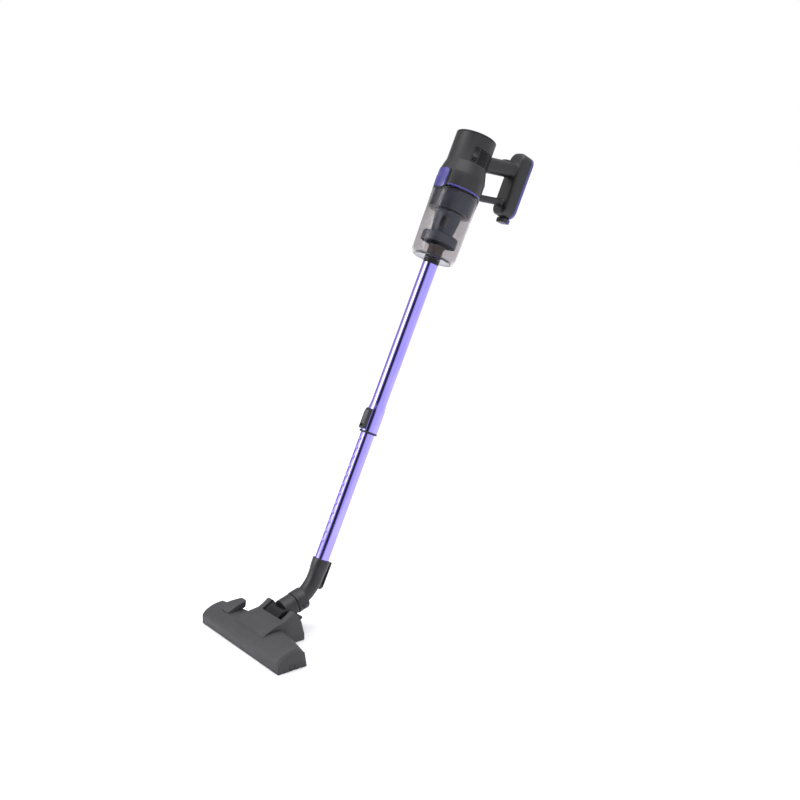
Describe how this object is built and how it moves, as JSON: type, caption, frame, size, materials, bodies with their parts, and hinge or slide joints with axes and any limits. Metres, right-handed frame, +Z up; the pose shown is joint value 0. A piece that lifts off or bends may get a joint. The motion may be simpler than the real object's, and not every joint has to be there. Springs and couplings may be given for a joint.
{
  "type": "cordless stick vacuum",
  "caption": "Cordless stick vacuum with a clear cyclone cup, telescopic two-part wand, swivelling neck and a wide floor head.",
  "frame": {"origin": "on the flat land of the floor head's sole, on the head's centre line, at the floor", "axes": "+Z up, +X to the right seen from the front of the floor head, -Y towards the front of the floor head; the wand leans back towards +Y"},
  "size_m": [0.31, 0.8039, 1.0506],
  "materials": {
    "body_black": "satin moulded ABS",
    "purple_plastic": "satin purple ABS",
    "motor_metal": "drawn can, stands in for a steel motor",
    "seal_rubber": "matte",
    "grey_plastic": "satin",
    "circuit_board": "solder mask",
    "cell_wrap": "shrink-wrapped cell",
    "smoke_clear": "clear smoky polycarbonate",
    "duct_tinted": "tinted translucent plastic",
    "cyclone_black": "satin",
    "steel_mesh": "perforated sheet",
    "filter_paper": "pleated filter paper",
    "violet_tube": "polished violet anodised",
    "pin_steel": "ground",
    "neck_black": "satin",
    "head_charcoal": "fine-textured ABS",
    "bristle_fibre": "nylon bristle",
    "wheel_rubber": "matte"
  },
  "bodies": {
    "hand_unit": {"motor_housing": "body_black", "motor_top_cap": "body_black", "vent_grille_right": "body_black", "vent_grille_left": "body_black", "accent_ring": "purple_plastic", "button_bezel": "body_black", "motor_can": "motor_metal", "motor_mount": "seal_rubber", "fan_shroud": "grey_plastic", "control_board": "circuit_board", "handle_shell_right": "body_black", "handle_shell_left": "body_black"},
    "fan": {"impeller": "grey_plastic"},
    "release_button": {"cup_button": "purple_plastic"},
    "power_button": {"power_button": "body_black"},
    "battery_pack": {"battery_cover": "purple_plastic", "battery_case": "body_black", "battery_cell_1": "cell_wrap", "battery_cell_2": "cell_wrap", "battery_cell_3": "cell_wrap", "battery_cell_4": "cell_wrap"},
    "battery_latch": {"battery_latch": "body_black"},
    "dust_cup": {"cup_shell": "smoke_clear", "cup_floor": "smoke_clear", "floor_seal": "seal_rubber", "rim_seal": "seal_rubber", "inlet_duct": "duct_tinted", "inlet_collar": "body_black", "cyclone_dish": "cyclone_black", "cyclone_cone": "cyclone_black", "cone_mesh": "steel_mesh", "filter_frame": "cyclone_black", "pleated_filter": "filter_paper"},
    "wand": {"wand_connector": "body_black", "upper_tube": "violet_tube", "tube_end_ring": "body_black", "tube_guide": "grey_plastic", "latch_frame": "body_black"},
    "latch_slider": {"latch_slider": "grey_plastic"},
    "latch_pin": {"latch_pin": "pin_steel"},
    "inner_tube": {"lower_tube": "violet_tube"},
    "elbow": {"elbow_pipe": "neck_black", "parking_clip": "neck_black", "swivel_collar": "neck_black", "collar_pin": "neck_black"},
    "neck": {"neck_knuckle": "neck_black"},
    "head": {"head_shell": "head_charcoal", "sole_plate": "neck_black", "end_cap_right": "neck_black", "end_cap_left": "neck_black", "saddle_cover": "head_charcoal", "pedal_pin": "pin_steel", "pivot_pin_right": "pin_steel", "pivot_pin_left": "pin_steel"},
    "pedal": {"brush_pedal": "head_charcoal"},
    "brushes": {"brush_carriage": "grey_plastic", "bristle_strip_front": "bristle_fibre", "bristle_strip_rear": "bristle_fibre"},
    "wheel_right": {"wheel_right": "wheel_rubber"},
    "wheel_left": {"wheel_left": "wheel_rubber"}
  },
  "joints": [
    {"name": "fan_spin", "type": "hinge", "parent": "hand_unit", "child": "fan", "pos_m": [0, 0.55808, 0.96253], "axis": [0, 0.4368, 0.8996], "continuous": true},
    {"name": "cup_release_press", "type": "hinge", "parent": "hand_unit", "child": "release_button", "pos_m": [0, 0.49162, 0.947], "axis": [-1, 0, 0], "range_deg": [0, 4.5], "stiffness_Nm_per_rad": 0.5, "springref_deg": -5.73},
    {"name": "power_press", "type": "slide", "parent": "hand_unit", "child": "power_button", "axis": [0, -0.4368, -0.8996], "range_m": [0, 0.002], "stiffness_N_per_m": 300, "springref_m": -0.002},
    {"name": "battery_slide_out", "type": "slide", "parent": "hand_unit", "child": "battery_pack", "axis": [0, 0.8996, -0.4368], "range_m": [0, 0.03]},
    {"name": "battery_latch_press", "type": "slide", "parent": "battery_pack", "child": "battery_latch", "axis": [0, -0.8996, 0.4368], "range_m": [0, 0.0025], "stiffness_N_per_m": 400, "springref_m": -0.002},
    {"name": "cup_pull_off", "type": "slide", "parent": "hand_unit", "child": "dust_cup", "axis": [0, -0.4368, -0.8996], "range_m": [0, 0.05]},
    {"name": "wand_pull_off", "type": "slide", "parent": "dust_cup", "child": "wand", "axis": [0, -0.4368, -0.8996], "range_m": [0, 0.034]},
    {"name": "latch_press", "type": "slide", "parent": "wand", "child": "latch_slider", "axis": [0, -0.4368, -0.8996], "range_m": [0, 0.005], "stiffness_N_per_m": 300, "springref_m": -0.003},
    {"name": "latch_pin_lift", "type": "slide", "parent": "wand", "child": "latch_pin", "axis": [0, -0.8996, 0.4368], "range_m": [0, 0.0013]},
    {"name": "wand_telescope", "type": "slide", "parent": "wand", "child": "inner_tube", "axis": [0, 0.4368, 0.8996], "range_m": [0, 0.2769]},
    {"name": "elbow_pull_off", "type": "slide", "parent": "inner_tube", "child": "elbow", "axis": [0, -0.4368, -0.8996], "range_m": [0, 0.026]},
    {"name": "neck_swivel", "type": "hinge", "parent": "elbow", "child": "neck", "pos_m": [0, 0.0873, 0.06365], "axis": [0, 0.9613, 0.2756], "range_deg": [-85, 85]},
    {"name": "neck_tilt", "type": "hinge", "parent": "neck", "child": "head", "pos_m": [0, 0.053, 0.04], "axis": [1, 0, 0], "range_deg": [-26, 38]},
    {"name": "pedal_rock", "type": "hinge", "parent": "head", "child": "pedal", "pos_m": [-0.1035, -0.004, 0.0345], "axis": [1, 0, 0], "range_deg": [-12, 0]},
    {"name": "brush_drop", "type": "slide", "parent": "head", "child": "brushes", "axis": [0, 0, -1], "range_m": [0, 0.0046]},
    {"name": "wheel_right_spin", "type": "hinge", "parent": "head", "child": "wheel_right", "pos_m": [0.0445, 0.07, 0.012], "axis": [1, 0, 0], "continuous": true},
    {"name": "wheel_left_spin", "type": "hinge", "parent": "head", "child": "wheel_left", "pos_m": [-0.0445, 0.07, 0.012], "axis": [1, 0, 0], "continuous": true}
  ],
  "couplings": [
    {"joint": "latch_pin_lift", "follows": "latch_press", "ratio": 0.26},
    {"joint": "brush_drop", "follows": "pedal_rock", "m_per_rad": -0.0215}
  ]
}
